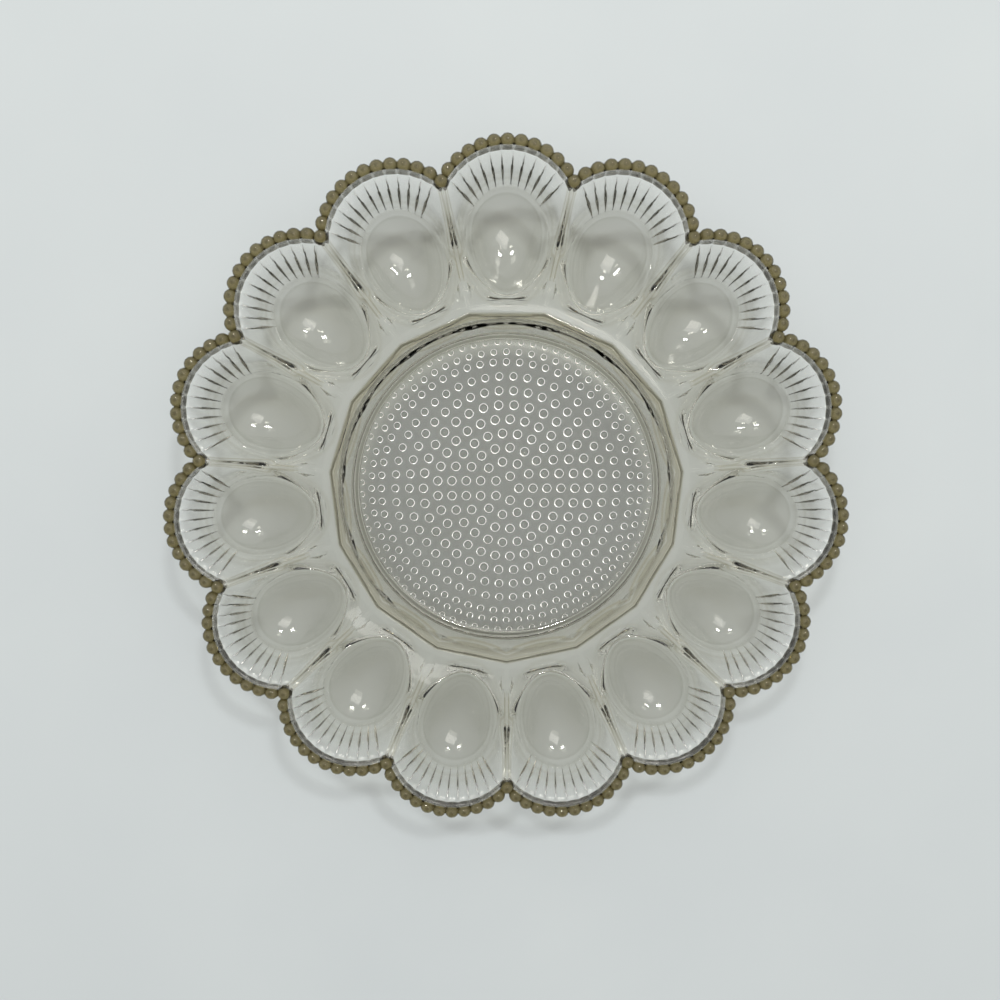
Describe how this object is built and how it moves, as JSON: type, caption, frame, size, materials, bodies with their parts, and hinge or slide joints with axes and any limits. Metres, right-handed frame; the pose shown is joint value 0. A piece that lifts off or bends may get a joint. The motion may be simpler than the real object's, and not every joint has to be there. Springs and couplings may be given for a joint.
{
  "type": "deviled egg platter",
  "caption": "Round pressed clear glass egg platter with oval egg wells in fluted, scalloped petals, a beaded rim and a knobbed centre dish.",
  "frame": {"origin": "on the table in the middle of the foot ring", "axes": "+Z up out of the dish, +Y towards the middle of the first egg cup, +X towards the right seen from above with +Y up"},
  "size_m": [0.2826, 0.2816, 0.032],
  "materials": {
    "clear_glass": "polished",
    "tinted_beads": "polished"
  },
  "bodies": {
    "root": {"knobbed_floor": "clear_glass", "collar": "clear_glass", "foot_ring": "clear_glass", "egg_cup_01": "clear_glass", "egg_cup_02": "clear_glass", "egg_cup_03": "clear_glass", "egg_cup_04": "clear_glass", "egg_cup_05": "clear_glass", "egg_cup_06": "clear_glass", "egg_cup_07": "clear_glass", "egg_cup_08": "clear_glass", "egg_cup_09": "clear_glass", "egg_cup_10": "clear_glass", "egg_cup_11": "clear_glass", "egg_cup_12": "clear_glass", "egg_cup_13": "clear_glass", "egg_cup_14": "clear_glass", "egg_cup_15": "clear_glass", "rim_beads_01": "tinted_beads", "rim_beads_02": "tinted_beads", "rim_beads_03": "tinted_beads", "rim_beads_04": "tinted_beads", "rim_beads_05": "tinted_beads", "rim_beads_06": "tinted_beads", "rim_beads_07": "tinted_beads", "rim_beads_08": "tinted_beads", "rim_beads_09": "tinted_beads", "rim_beads_10": "tinted_beads", "rim_beads_11": "tinted_beads", "rim_beads_12": "tinted_beads", "rim_beads_13": "tinted_beads", "rim_beads_14": "tinted_beads", "rim_beads_15": "tinted_beads"}
  },
  "joints": []
}
